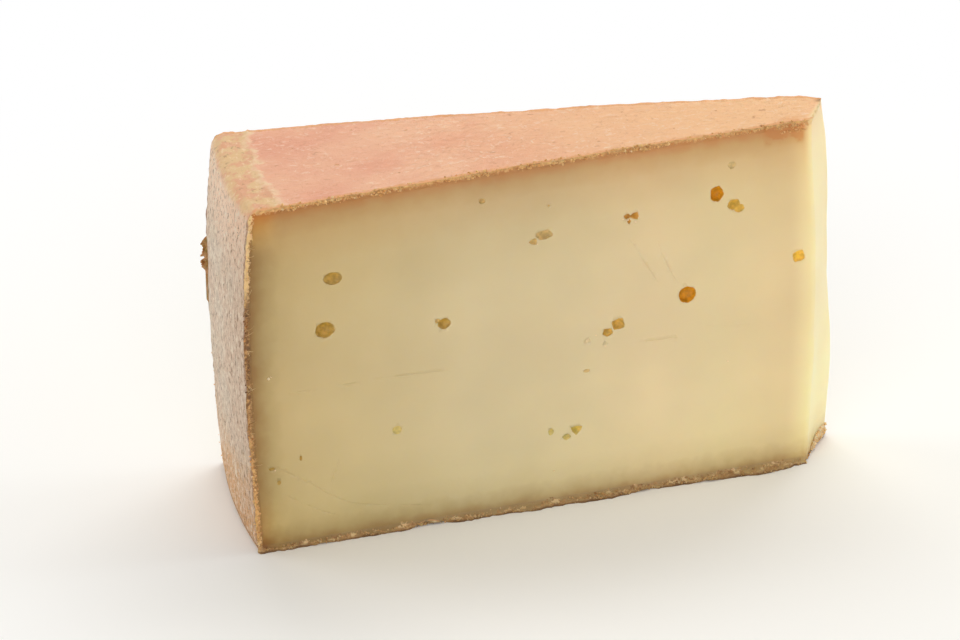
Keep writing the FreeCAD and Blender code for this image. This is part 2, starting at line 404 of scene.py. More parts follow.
def carveRelief(mesh, shares):
    moves = [reliefAt(v.co.copy(), share, v.normal) for v, share in zip(mesh.verts, shares)]
    for vertex, move in zip(mesh.verts, moves):
        vertex.co += move
        vertex.co.z = max(vertex.co.z, wheelAxis.z)
    mesh.normal_update()


# Eyes in the cuts: millimetres from the heel and up, width, height, corners, how cornered, turn,
# depth as a share of the width, paint.
frontEyes = [
    (17.7, 60.8, 4.0, 2.9, 2, 0.10, 10, 0.24, "gold"),
    (15.6, 49.5, 4.2, 3.6, 5, 0.10, 20, 0.33, "gold"),
    (41.8, 46.8, 2.9, 2.5, 4, 0.30, 15, 0.30, "gold"),
    (40.4, 47.6, 1.4, 1.1, 3, 0.40, 0, 0.35, "tan"),
    (50.8, 73.1, 1.5, 1.2, 4, 0.40, 30, 0.35, "tan"),
    (64.4, 63.5, 3.9, 2.2, 4, 0.40, 25, 0.18, "tan"),
    (62.0, 62.3, 1.8, 1.5, 3, 0.50, 60, 0.26, "tan"),
    (31.0, 23.8, 2.1, 1.9, 5, 0.20, 0, 0.12, "olive"),
    (65.6, 17.4, 1.3, 1.7, 4, 0.45, 20, 0.20, "olive"),
    (69.2, 15.6, 1.9, 1.5, 4, 0.50, 8, 0.22, "olive"),
    (71.4, 17.0, 2.6, 2.2, 3, 0.60, 90, 0.22, "straw"),
    (73.7, 30.6, 1.5, 0.8, 5, 0.10, 0, 0.08, "faint"),
    (74.1, 37.6, 1.4, 1.2, 3, 0.80, 40, 0.10, "pale"),
    (78.5, 38.8, 2.4, 1.9, 5, 0.65, 90, 0.36, "amber"),
    (80.9, 40.4, 3.0, 2.7, 4, 0.55, 35, 0.40, "amber"),
    (77.9, 36.2, 1.0, 1.5, 4, 0.50, 0, 0.10, "pale"),
    (84.8, 64.7, 2.2, 1.7, 3, 0.60, -60, 0.28, "brown"),
    (83.1, 64.8, 1.6, 1.2, 4, 0.60, 20, 0.32, "brown"),
    (83.5, 63.6, 0.8, 1.2, 4, 0.50, 0, 0.30, "brown"),
    (103.4, 66.9, 3.1, 3.6, 5, 0.55, 75, 0.45, "orangeGlow"),
    (107.3, 63.9, 2.9, 2.5, 5, 0.40, 30, 0.26, "honey"),
    (108.5, 62.9, 2.4, 1.9, 5, 0.30, 10, 0.18, "honey"),
    (106.9, 73.0, 1.9, 1.5, 5, 0.20, 20, 0.05, "faint"),
    (96.6, 44.8, 4.0, 3.8, 8, 0.20, 0, 0.38, "orangeGlow"),
    (122.2, 49.8, 3.0, 2.7, 4, 0.55, 30, 0.26, "yellowGlow"),
    (9.6, 20.8, 0.6, 1.3, 4, 0.20, -25, 0.36, "gold"),
    (3.2, 19.3, 1.5, 0.8, 4, 0.50, 20, 0.20, "gold"),
    (4.7, 15.8, 0.9, 1.2, 5, 0.20, 20, 0.10, "gold"),
    (65.6, 69.9, 0.5, 0.5, 5, 0.20, 0, 0.30, "tan"),
]
backEyes = [
    (11.8, 55.4, 3.5, 3.0, 5, 0.30, 10, 0.38, "gold"),
    (22.3, 29.6, 3.8, 3.2, 4, 0.40, 20, 0.38, "gold"),
    (27.6, 32.4, 2.4, 2.1, 5, 0.50, 50, 0.35, "gold"),
    (31.5, 67.1, 1.7, 1.4, 3, 0.60, 0, 0.35, "tan"),
    (40.7, 44.5, 3.6, 3.3, 6, 0.20, 0, 0.40, "gold"),
    (48.6, 18.7, 2.1, 1.6, 4, 0.50, 30, 0.22, "olive"),
    (55.1, 59.3, 4.1, 2.6, 4, 0.45, 15, 0.32, "tan"),
    (59.1, 56.9, 2.5, 2.2, 3, 0.60, 70, 0.36, "tan"),
    (64.3, 34.3, 3.0, 2.8, 5, 0.40, 0, 0.40, "amber"),
    (73.5, 70.2, 1.5, 1.2, 4, 0.30, 0, 0.26, "tan"),
    (78.8, 48.4, 3.7, 3.5, 7, 0.20, 0, 0.45, "amber"),
    (86.6, 24.2, 2.8, 2.0, 4, 0.60, 20, 0.32, "olive"),
    (89.3, 21.8, 1.9, 1.7, 3, 0.70, 90, 0.26, "olive"),
    (95.8, 62.4, 3.1, 2.9, 5, 0.50, 60, 0.42, "orangeGlow"),
    (103.7, 38.2, 3.5, 2.9, 4, 0.40, 25, 0.40, "orangeGlow"),
    (111.6, 53.0, 2.2, 2.6, 5, 0.40, 0, 0.36, "amber"),
    (119.4, 28.9, 3.0, 2.6, 6, 0.30, 0, 0.36, "amber"),
    (124.6, 65.5, 2.3, 1.8, 4, 0.50, 10, 0.28, "yellowGlow"),
]
# What each paint is at the bottom of an eye, and at its lip. The last two paints, for the eyes towards the
# thin nose, are partly painted glow of light shining through the paste.
eyePaints = {
    "gold": (tint(182, 144, 62), tint(192, 160, 92)),
    "tan": (tint(202, 168, 106), tint(206, 176, 116)),
    "olive": (tint(202, 180, 102), tint(206, 184, 114)),
    "pale": (tint(226, 204, 156), tint(230, 208, 164)),
    "faint": (tint(202, 170, 112), tint(205, 176, 120)),
    "brown": (tint(196, 140, 54), tint(212, 170, 98)),
    "honey": (tint(214, 168, 60), tint(218, 180, 88)),
    "straw": (tint(212, 184, 84), tint(212, 186, 104)),
    "amber": (tint(214, 172, 82), tint(218, 188, 108)),
    "orangeGlow": (tint(212, 146, 26), tint(208, 152, 44)),
    "yellowGlow": (tint(244, 194, 62), tint(240, 198, 94)),
}

# Folds and knife marks in the front cut: points in millimetres from the heel and up, and a radius.
frontCreases = [
    (0.11, [(7.5, 36.2), (10.5, 36.4), (13.5, 36.5)]),
    (0.12, [(18.0, 36.4), (20.5, 36.2), (23, 36.3)]),
    (0.04, [(26, 36.5), (32, 36.3), (38, 36.0), (43, 35.7)]),
    (0.065, [(3, 20.2), (10.4, 15.5), (15.7, 11.2), (20, 8.2), (28, 6.2), (38, 4.6)]),
    (0.06, [(18.2, 19.3), (16.3, 15), (16, 11.5)]),
    (0.06, [(5.5, 13), (11.8, 8.2), (18.2, 5.4)]),
    (0.11, [(83.5, 60), (87.6, 52.3), (90.2, 48.6)]),
    (0.11, [(89.9, 57.8), (92.8, 49.7), (95.4, 47.2)]),
    (0.08, [(85.8, 35.5), (89.9, 35), (93.4, 35.2), (95.4, 34.7)]),
    (0.09, [(100.9, 36.6), (111, 35.4)]),
]
backCreases = [
    (0.11, [(12, 41), (24, 40.2), (37, 41.6), (52, 40.9)]),
    (0.12, [(66, 62), (71, 53), (74.5, 47)]),
    (0.11, [(84, 33), (95, 31.8), (108, 32.6)]),
]

# Pits in the top: millimetres from the wheel's axis, share from front to back, width.
topPits = [
    (156.4, 0.42, 1.2), (150.7, 0.88, 0.6), (139.2, 0.81, 0.8), (108.3, 0.75, 0.6), (110.1, 0.34, 0.8),
    (107.4, 0.26, 0.8), (101.0, 0.24, 0.7), (128.0, 0.55, 0.5), (92.4, 0.62, 0.5), (84.0, 0.30, 0.5),
    (121.5, 0.90, 0.6), (145.0, 0.20, 0.5), (164.0, 0.70, 0.5), (73.0, 0.66, 0.6), (66.0, 0.35, 0.5),
]


def outlineReach(angle, corners, cornered):  # a round drawn towards a polygon
    step = 2 * pi / corners
    if corners > 2:
        side = cos(pi / corners) / cos((angle % step) - step / 2)
        side *= 2 / (1 + cos(pi / corners))     # as wide as the round on the whole
    else:
        side = 1 + 0.5 * cos(2 * angle)
    return blend(1, side, cornered)


def addHollow(mesh, place, facing, level, shape, seed):
    width, height, corners, cornered, turn, depth = shape
    width, height = width * mm, height * mm
    drop = facing.cross(level)
    fineness = 4 if width > 1.6 * mm else 3
    made = bmesh.ops.create_icosphere(mesh, subdivisions=fineness, radius=1)["verts"]
    for vertex in made:
        spot = vertex.co.copy()
        angle = atan2(spot.y, spot.x)
        reach = outlineReach(angle - radians(turn), corners, cornered)
        ripple = 1 + 0.10 * noise.noise(spot * 1.7 + Vector((seed, 0, 0)))
        ripple += 0.05 * noise.noise(spot * 4.3 + Vector((0, seed, 0)))
        x = spot.x * reach * ripple * width / 2
        y = spot.y * reach * ripple * height / 2
        z = spot.z * ripple * depth * width
        vertex.co = place + x * level - y * drop + z * facing


def addEyes(mesh, eyes, isFront, group):
    for number, eye in enumerate(eyes):
        if number % 2 != group:
            continue
        place, facing, heelward = cutSpot(isFront, *eye[:2])
        level = -heelward if isFront else heelward
        addHollow(mesh, place, facing, level, eye[2:8], number * 3.7 + (0 if isFront else 50))


def addPits(mesh):
    for number, (radius, across, width) in enumerate(topPits):
        turn = wheel["angle"] * across
        place = wheelAxis + radius * mm * outward(turn) + topHeight(radius * mm) * up
        place += topLift(place, radius * mm) * up
        addHollow(mesh, place, up, outward(turn), (width, width * 0.8, 5, 0.3, 0, 0.16), number)


def addTube(mesh, points, thickness, sides, steps):  # capped; each point is a place and a share of thickness
    curve = bpy.data.curves.new("tubeLine", "CURVE")
    curve.dimensions = "3D"
    curve.bevel_depth = thickness
    curve.bevel_resolution = sides
    curve.use_fill_caps = True
    curve.resolution_u = steps
    spline = curve.splines.new("NURBS")
    spline.points.add(len(points) - 1)
    for point, (place, share) in zip(spline.points, points):
        point.co = (*place, 1)
        point.radius = share
    spline.order_u = 3
    spline.use_endpoint_u = True
    holder = bpy.data.objects.new("tubeLine", curve)
    tube = bpy.data.meshes.new_from_object(holder)
    mesh.from_mesh(tube)
    bpy.data.objects.remove(holder)
    bpy.data.curves.remove(curve)
    bpy.data.meshes.remove(tube)


def addCreases(mesh, creases, isFront):  # thin tubes laid half in the cut, for the boolean to take out
    for radius, spots in creases:
        points = []
        for spot in spots:
            place, facing, _ = cutSpot(isFront, *spot)
            share = 0.62 if spot in (spots[0], spots[-1]) else 1.0      # thinner at its ends
            points.append((place + 0.55 * radius * mm * facing, share))
        addTube(mesh, points, radius * mm, 2, 8)
    bmesh.ops.remove_doubles(mesh, verts=mesh.verts, dist=0.0001 * mm)


def meshObject(name, mesh, *materials):
    data = bpy.data.meshes.new(name)
    mesh.to_mesh(data)
    mesh.free()
    for material in materials:
        data.materials.append(material)
    made = bpy.data.objects.new(name, data)
    bpy.context.collection.objects.link(made)
    return made


def makeCutter(group, materials):  # two groups, so that no two hollows of one group overlap
    mesh = bmesh.new()
    addEyes(mesh, frontEyes, True, group)
    addEyes(mesh, backEyes, False, group)
    eyeFaces = len(mesh.faces)
    if group == 0:
        addPits(mesh)
    else:
        addCreases(mesh, frontCreases, True)
        addCreases(mesh, backCreases, False)
    for number, face in enumerate(mesh.faces):
        face.material_index = 2 if number < eyeFaces else (3 if group == 0 else 0)
        face.smooth = True
    bmesh.ops.recalc_face_normals(mesh, faces=mesh.faces)
    return meshObject(f"hollows{group}", mesh, *materials)


def takeOut(body, cutter):
    modifier = body.modifiers.new("hollows", "BOOLEAN")
    modifier.operation = "DIFFERENCE"
    modifier.solver = "MANIFOLD"
    modifier.material_mode = "TRANSFER"
    modifier.object = cutter
    graph = bpy.context.evaluated_depsgraph_get()
    cut = bpy.data.meshes.new_from_object(body.evaluated_get(graph))
    body.modifiers.clear()
    old, spent = body.data, cutter.data
    body.data = cut
    bpy.data.objects.remove(cutter)
    bpy.data.meshes.remove(old)
    bpy.data.meshes.remove(spent)


# Shader helpers: a socket knows the tree that it is in, so most take only sockets and numbers.
def addNode(tree, kind, inputs=None, **settings):
    node = tree.nodes.new(kind)
    for name, value in settings.items():
        setattr(node, name, value)
    for name, value in (inputs or {}).items():
        if isinstance(value, bpy.types.NodeSocket):
            tree.links.new(value, node.inputs[name])
        else:
            node.inputs[name].default_value = value
    return node


def socketOf(tree, kind, output, inputs=None, **settings):  # one output of a new node
    return addNode(tree, kind, inputs, **settings).outputs[output]


def readAttribute(tree, name, output):
    return socketOf(tree, "ShaderNodeAttribute", output, attribute_type="GEOMETRY", attribute_name=name)


def splitUp(vector):
    return addNode(vector.id_data, "ShaderNodeSeparateXYZ", {0: vector}).outputs


def readThree(tree, name):
    return splitUp(readAttribute(tree, name, "Vector"))


def objectPlace(tree):
    return socketOf(tree, "ShaderNodeTexCoord", "Object")


def ramp(value, low, high, start=0.0, end=1.0):  # a smooth step from start to end
    return socketOf(value.id_data, "ShaderNodeMapRange", 0, {0: value, 1: low, 2: high, 3: start, 4: end},
                    interpolation_type="SMOOTHSTEP")


def maths(operation, first, *others, clampIt=False):  # more than two values are taken from the left
    for other in others or (0.0,):
        first = socketOf(first.id_data, "ShaderNodeMath", 0, {0: first, 1: other},
                         operation=operation, use_clamp=clampIt)
    return first


def times(*values, clampIt=False):
    return maths("MULTIPLY", *values, clampIt=clampIt)


def plus(*values, clampIt=False):
    return maths("ADD", *values, clampIt=clampIt)


def mixColour(share, first, second):
    return socketOf(share.id_data, "ShaderNodeMix", 2, {0: share, 6: first, 7: second}, data_type="RGBA")


def layered(colour, *layers):  # each layer is a share and a paint, laid over what is under it
    for share, paint in layers:
        colour = mixColour(share, colour, paint)
    return colour


def stained(colour, stain, share=1.0):  # multiplied by the stain
    return socketOf(colour.id_data, "ShaderNodeMix", 2, {0: share, 6: colour, 7: stain},
                    data_type="RGBA", blend_type="MULTIPLY")


def gradient(value, stops):  # colours at given values of a reading
    reach = stops[-1][0]
    node = addNode(value.id_data, "ShaderNodeValToRGB", {0: times(value, 1 / reach)})
    points = node.color_ramp.elements
    for _ in stops[2:]:
        points.new(0.5)
    for point, (position, colour) in zip(points, stops):
        point.position = position / reach
        point.color = colour
    return node.outputs[0]


def spread(low, high, value):  # a noise's middle range, moved onto low to high
    return ramp(value, 0.3, 0.7, low, high)


def stretched(place, scale, turn=(0, 0, 0)):
    inputs = {"Vector": place, "Scale": scale, "Rotation": turn}
    return socketOf(place.id_data, "ShaderNodeMapping", 0, inputs)


def noiseAt(place, scale, detail=3.0, roughness=0.55, distortion=0.0):
    return socketOf(place.id_data, "ShaderNodeTexNoise", "Fac", {
        "Vector": place, "Scale": scale, "Detail": detail, "Roughness": roughness, "Distortion": distortion,
    })


def newMaterial(name):
    material = bpy.data.materials.new(name)
    material.use_nodes = True
    tree = material.node_tree
    tree.nodes.clear()
    return material, tree


def finishMaterial(material, colour, settings, bump=None):
    tree = material.node_tree
    inputs = {
        "Base Color": colour,
        "Roughness": settings["roughness"],
        "Specular IOR Level": settings["gloss"],
        "IOR": 1.45,
        "Subsurface Weight": settings["softness"],
        "Subsurface Radius": settings["reach"],
        "Subsurface Scale": settings["reachScale"],
    }
    if bump is not None:
        bumped = {"Height": bump, "Strength": 1.0, "Distance": settings["bumpHeight"]}
        inputs["Normal"] = socketOf(tree, "ShaderNodeBump", 0, bumped)
    skin = socketOf(tree, "ShaderNodeBsdfPrincipled", 0, inputs, subsurface_method="RANDOM_WALK")
    addNode(tree, "ShaderNodeOutputMaterial", {"Surface": skin})
    return material


# Materials
paste = {
    # millimetres from the heel, then the paste's colour half way up: darker under the heel rind in its own
    # colour, and lighter towards the thin nose, partly in its own colour and partly as painted glow of light
    # shining through
    "alongStops": [
        (0.0, tint(148, 108, 62)), (1.5, tint(154, 118, 70)), (2.6, tint(165, 135, 85)),
        (4.4, tint(181, 156, 106)), (7.4, tint(198, 174, 124)), (12.0, tint(204, 181, 132)),
        (24.0, tint(208, 187, 140)), (50.0, tint(217, 199, 158)), (75.0, tint(224, 205, 163)),
        (92.0, tint(231, 209, 166)), (105.0, tint(232, 212, 166)), (122.0, tint(233, 208, 160)),
    ],
    # millimetres above the base and below the top, then what the paste is multiplied by: its own darker
    # colour next to the rind, and further out painted shade towards the base and the top, with a slight
    # painted lightening about 10 to 30 mm above the base
    "baseStops": [
        (0.0, (0.56, 0.43, 0.30, 1)), (1.3, (0.62, 0.51, 0.37, 1)), (3.0, (0.77, 0.74, 0.63, 1)),
        (6.0, (0.95, 0.97, 0.91, 1)), (11.0, (1.02, 1.05, 1.03, 1)), (20.0, (1.04, 1.06, 1.06, 1)),
        (40.0, (1, 1, 1, 1)),
    ],
    "topStops": [
        (0.0, (0.72, 0.36, 0.20, 1)), (0.5, (0.71, 0.39, 0.22, 1)), (1.6, (0.73, 0.45, 0.28, 1)),
        (3.2, (0.77, 0.59, 0.44, 1)), (7.0, (0.87, 0.77, 0.67, 1)), (14.0, (0.93, 0.90, 0.85, 1)),
        (26.0, (0.97, 0.97, 0.96, 1)), (38.0, (1, 1, 1, 1)),
    ],
    # the nose's paste colour, lightened with painted glow of back light shining through the thin nose
    "noseGlowColour": tint(254, 235, 180),
    "noseGlowReach": 6.0,
    # painted glow of light coming through the upper heel corner
    "cornerGlow": (1.50, 1.34, 0.92, 1),
    "footGold": (1.42, 1.40, 1.36, 1),
    "crustDark": tint(122, 86, 50),
    "crustTan": tint(190, 140, 86),
    "crustPale": tint(228, 182, 122),
    "crustCream": tint(244, 212, 160),
    "darkCrust": (18, 36, 59, 62),      # millimetres up the heel: its cut edge darkens, is dark, pales again
    "mottle": 0.04,
    "roughness": 0.42,
    "gloss": 0.35,
    "softness": 0.55,
    "reach": (1.0, 0.74, 0.42),
    "reachScale": 0.0030,
    "bumpHeight": 0.00006,
}


def crustColour(place, height):  # the rind's cut edge: dark half way up the heel, paler at top and foot
    fine = noiseAt(place, 1300, 3, 0.7)
    start, full, fading, end = paste["darkCrust"]
    middle = times(ramp(height, start, full), ramp(height, end, fading))
    darkness = plus(times(middle, 0.90), spread(-0.2, 0.35, noiseAt(place, 260, 2)), clampIt=True)
    darkness = times(darkness, spread(1.3, 0.3, fine), clampIt=True)
    darkness = times(darkness, ramp(height, 66, 74, 1, 0.25))
    # painted contact shadow: darker towards the table, most in the lowest 0.6 mm
    darkness = plus(darkness, ramp(height, 2.0, 0.9, 0, 0.25), ramp(height, 0.6, 0.2, 0, 0.60), clampIt=True)
    colour = mixColour(spread(0, 1, fine), paste["crustTan"], paste["crustPale"])
    return mixColour(darkness, colour, paste["crustDark"])


def topReach(fromTop, fromNose, across, lump, place):  # how deep the top's stain, and the painted shade below it, reach at each place
    stain = times(
        ramp(fromNose, 11.5, 9.5),
        ramp(fromNose, 1.2, 2.5, 0, -2.8),
        ramp(noiseAt(place, 230, 3, 0.6), 0.40, 0.60, 0.35, 1.15),
        ramp(fromTop, 5.5, 4.0),
        ramp(across, 0.6, 0.4, 0.3, 1),
    )
    reach = plus(fromTop, spread(-0.35, 0.35, lump), stain)
    return maths("MAXIMUM", reach, times(fromTop, 0.3))


def pasteColour(tree):
    fromHeel, fromBase, fromTop = readThree(tree, "near")
    fromNose, _, across = readThree(tree, "ends")
    place = objectPlace(tree)
    lump = noiseAt(place, 240, 2)
    inCorner = ramp(fromTop, 3, 13, 2.6, 0)             # gold light comes through the upper heel corner
    # partly painted glow: the paste lighter towards the thin nose
    colour = gradient(plus(fromHeel, inCorner, spread(-0.4, 0.4, lump)), paste["alongStops"])
    # painted glow: the paste lighter within a few millimetres of the thin nose
    colour = mixColour(ramp(fromNose, 0, paste["noseGlowReach"], 0.85, 0), colour, paste["noseGlowColour"])
    colour = stained(colour, spread(1 - paste["mottle"], 1 + paste["mottle"], noiseAt(place, 38, 2)))
    # the paste's own darker colour by the base rind, and painted shade towards the table
    colour = stained(colour, gradient(plus(fromBase, spread(-0.5, 0.5, lump)), paste["baseStops"]))
    lit = ramp(fromNose, 0.2, 2.2, 0.35, 1.0)           # the nose keeps its painted backlight glow right up to its top, with little of the top's stain and shade
    # the stain under the top rind, and below it painted shade over the upper part of the cut
    stain = gradient(topReach(fromTop, fromNose, across, lump, place), paste["topStops"])
    colour = stained(colour, stain, lit)
    # painted glow: the upper heel corner lighter and golder, where light comes through
    corner = times(ramp(fromHeel, 8, 1), ramp(fromTop, 11, 1))
    colour = stained(colour, mixColour(corner, white, paste["cornerGlow"]))
    corner = times(ramp(fromHeel, 9, 1), ramp(fromBase, 16, 3))
    colour = stained(colour, mixColour(corner, white, paste["footGold"]))
    ragged = spread(-0.55, 0.55, noiseAt(place, 1100, 3, 0.7))
    patchy = plus(ragged, spread(0.75, -0.25, noiseAt(place, 130, 2)))
    crust = maths(
        "MAXIMUM",
        ramp(plus(fromBase, patchy), 1.2, 0.8),
        ramp(plus(fromHeel, ragged), 1.1, 0.6),
        times(ramp(plus(fromTop, ragged), 0.95, 0.45), ramp(fromNose, 0.1, 1.2, 0.25, 1)),
    )
    flecked = noiseAt(place, 520, 3, 0.7)
    atFoot = times(ramp(fromBase, 0.3, 0.7), ramp(fromBase, 3.0, 2.0))
    rindCut = layered(
        crustColour(place, fromBase),
        (times(ramp(fromHeel, 2.5, 1.2, 0, 0.55), ramp(fromBase, 56, 62)), paste["crustCream"]),
        (times(atFoot, ramp(flecked, 0.50, 0.60, 0, 0.75)), paste["crustCream"]),
        (times(atFoot, ramp(flecked, 0.47, 0.38, 0, 0.55)), paste["crustDark"]),
    )
    return mixColour(crust, colour, rindCut)


def makePaste():
    material, tree = newMaterial("pasteCut")
    place = objectPlace(tree)
    dragged = noiseAt(stretched(place, (30, 30, 500)), 1, 2)
    nearRind = maths("MINIMUM", *readThree(tree, "near"))
    crumbly = times(noiseAt(place, 1400, 3, 0.7), ramp(nearRind, 1.5, 0.8, 0, 7))
    bump = plus(times(noiseAt(place, 1500, 3), 0.4), dragged, crumbly)
    return finishMaterial(material, pasteColour(tree), paste, bump)


eyeWall = {
    "lighter": 1.22,
    "darker": 0.80,
    "roughness": 0.36,
    "gloss": 0.30,
    "softness": 0.5,
    "reach": (1.0, 0.7, 0.25),
    "reachScale": 0.0016,
    "bumpHeight": 0.00008,
}


def makeEyeWall():
    material, tree = newMaterial("eyeWall")
    place = objectPlace(tree)
    shade = spread(eyeWall["darker"], eyeWall["lighter"], noiseAt(place, 900, 2))
    colour = stained(readAttribute(tree, "eyeTint", "Color"), shade)
    return finishMaterial(material, colour, eyeWall, noiseAt(place, 1300, 2))


rind = {
    "salmon": tint(240, 184, 149),
    "rosy": tint(232, 164, 133),
    # the next two are painted light: highlight on the top's crepe ridges and shade in its hollows
    "pale": tint(250, 220, 192),
    "crepeShade": tint(206, 144, 110),
    "noseTan": tint(244, 192, 141),
    "bandBeige": tint(230, 192, 142),
    "bandRosy": tint(228, 170, 132),
    "ridge": tint(244, 212, 172),
    "crease": tint(168, 120, 84),
    "heelGrey": tint(216, 196, 172),
    "heelPink": tint(220, 192, 166),
    # painted light on the heel's upper part
    "heelLitTop": tint(250, 212, 180),
    "heelBrown": tint(118, 78, 46),
    "heelFleck": tint(240, 226, 204),
    "heelEdge": tint(142, 96, 62),
    "topEdge": tint(230, 165, 108),
    "heelFoot": tint(220, 164, 104),
    "base": tint(196, 148, 98),
    "baseTan": tint(222, 176, 124),
    "pit": tint(224, 170, 130),
    "spot": tint(192, 126, 88),
    "tip": tint(150, 104, 58),
    "roughness": 0.55,
    "gloss": 0.35,
    "softness": 0.25,
    "reach": (1.0, 0.6, 0.4),
    "reachScale": 0.0012,
    "bumpHeight": 0.00050,
}


def crepeAt(place):  # the crinkled skin of the top and base
    return noiseAt(stretched(place, (520, 700, 520)), 1, 5, 0.75, 0.8)


def bandColour(place, creased):  # the paler band along the heel's upper edge
    patch = noiseAt(place, 260, 4, 0.6)
    return layered(
        mixColour(ramp(patch, 0.46, 0.60), rind["bandBeige"], rind["bandRosy"]),
        (ramp(creased, 0.42, 0.30, 0, 0.6), rind["crease"]),
        (ramp(creased, 0.56, 0.68, 0, 0.7), rind["ridge"]),
    )


def topColour(tree, inward):  # inward counts millimetres from the rim
    fromNose, fromCut, across = readThree(tree, "ends")
    place = objectPlace(tree)
    crepe = crepeAt(place)
    patchy = spread(0.15, 0.75, noiseAt(place, 75, 2))
    spots = times(
        ramp(noiseAt(place, 430, 2, 0.5), 0.34, 0.27, 0, 0.5),
        ramp(noiseAt(place, 48, 2), 0.44, 0.58),
        ramp(inward, 30, 60),
    )
    wander = plus(inward, spread(-1.2, 1.2, noiseAt(place, 200, 4, 0.6)))
    offRidge = maths("ABSOLUTE", maths("SUBTRACT", wander, 7.4))
    faded = ramp(noiseAt(place, 500, 3, 0.6), 0.4, 0.6, 0.25, 0.7)
    tip = times(ramp(fromNose, 2.6, 1.2), ramp(across, 0.74, 0.90, 0, 0.9))
    fromCut = plus(fromCut, spread(-0.45, 0.45, noiseAt(place, 900, 3, 0.6)))
    browned = times(
        ramp(fromNose, 9.5, 7),
        ramp(fromNose, 2, 4),
        ramp(fromCut, 4.0, 1.5, 0, 0.55),
        ramp(across, 0.7, 0.4),
    )
    return layered(
        mixColour(spread(0, 1, noiseAt(place, 60, 3)), rind["salmon"], rind["rosy"]),
        (ramp(inward, 20, 120), rind["noseTan"]),
        # painted highlights on the crepe's ridges and painted shade in its hollows, on the same noise that
        # bumps it
        (times(ramp(crepe, 0.53, 0.66), patchy), rind["pale"]),
        (ramp(crepe, 0.44, 0.30, 0, 0.60), rind["crepeShade"]),
        (spots, rind["spot"]),
        (ramp(wander, 8.4, 6.4), bandColour(place, noiseAt(stretched(place, (900, 600, 500)), 1, 4, 0.6))),
        (times(ramp(offRidge, 1.4, 0.2), faded), rind["ridge"]),
        # painted glow of the nose's paste along the top's nose edge
        (ramp(fromNose, 1.5, 0.2, 0, 0.5), paste["noseGlowColour"]),
        (tip, rind["tip"]),
        (browned, rind["topEdge"]),
        (ramp(fromCut, 1.2, 0.5, 0, 0.8), rind["topEdge"]),
    )


def heelColour(tree):
    place = objectPlace(tree)
    height = readThree(tree, "near")[1]
    _, fromCut, across = readThree(tree, "ends")
    broad = noiseAt(place, 70, 3)
    foot = plus(height, spread(-5, 5, broad), spread(-3, 3, noiseAt(place, 420, 3, 0.6)))
    fleck = noiseAt(stretched(place, (1000, 1000, 620), (0, 0.2, 0)), 1, 5, 0.7, 0.4)
    speck = noiseAt(stretched(place, (1000, 1000, 700)), 1.3, 3, 0.6)
    return layered(
        mixColour(ramp(broad, 0.4, 0.6), rind["heelGrey"], rind["heelPink"]),
        # painted light: the heel lighter towards its top, where it turns up towards the lamps
        (ramp(height, 56, 76, 0, 0.9), rind["heelLitTop"]),
        (ramp(foot, 24, 4, 0, 0.85), rind["heelFoot"]),
        (ramp(fleck, 0.47, 0.35, 0, 0.70), rind["heelBrown"]),
        (ramp(fleck, 0.51, 0.61, 0, 0.85), rind["heelFleck"]),
        (ramp(speck, 0.38, 0.30, 0, 0.85), rind["heelBrown"]),
        # painted shade: the heel darker towards the front cut
        (ramp(across, 0.5, 0, 0, 0.16), rind["heelEdge"]),
        (ramp(plus(fromCut, spread(-0.5, 0.5, speck)), 1.3, 0.3, 0, 0.7), rind["heelEdge"]),
        (ramp(height, 2.2, 0.6, 0, 0.7), rind["heelEdge"]),
    )


def baseColour(place, crepe):
    return layered(
        mixColour(spread(0, 1, noiseAt(place, 90, 3)), rind["base"], rind["baseTan"]),
        # painted highlights on the crepe's ridges and painted shade in its hollows, on the same noise that
        # bumps it
        (ramp(crepe, 0.53, 0.66, 0, 0.5), rind["ridge"]),
        (ramp(crepe, 0.44, 0.30, 0, 0.6), rind["crease"]),
    )


def makeRind():
    material, tree = newMaterial("washedRind")
    onHeel, onBase, inward = readThree(tree, "rindPart")
    place = objectPlace(tree)
    crepe = crepeAt(place)
    colour = layered(topColour(tree, inward), (onHeel, heelColour(tree)), (onBase, baseColour(place, crepe)))
    return finishMaterial(material, colour, rind, plus(crepe, times(noiseAt(place, 1800, 3, 0.7), 0.30)))


def makePit():
    material, _ = newMaterial("rindPit")
    return finishMaterial(material, rind["pit"], rind)


# The wedge
def markFaces(mesh, shares):  # material 1 on the rind, 0 on the cuts
    mesh.verts.index_update()
    for face in mesh.faces:
        held = [shares[vertex.index] for vertex in face.verts]
        onTop = all(atEnd(share.z) for share in held)
        onBase = all(atStart(share.z) for share in held)
        onHeel = all(atStart(share.x) for share in held)
        face.material_index = 1 if onTop or onBase or onHeel else 0
        face.smooth = True


def insideCut(turn, radius, bulge):  # which long cut is nearer, and the distance in from it
    fromFront = radius * sin(turn) + bulge
    fromBack = radius * sin(wheel["angle"] - turn) + bulge
    return (True, fromFront) if fromFront < fromBack else (False, fromBack)


def eyeTint(place, depth, spots):  # by the nearest eye, and by how deep in it the place is
    _, width, paint = min(spots, key=lambda spot: (spot[0] - place).length - spot[1] / 2)
    deep, lip = eyePaints[paint]
    share = ease(0.02, 0.28, depth / width)
    return [blend(lip[channel], deep[channel], share) for channel in range(3)] + [1.0]


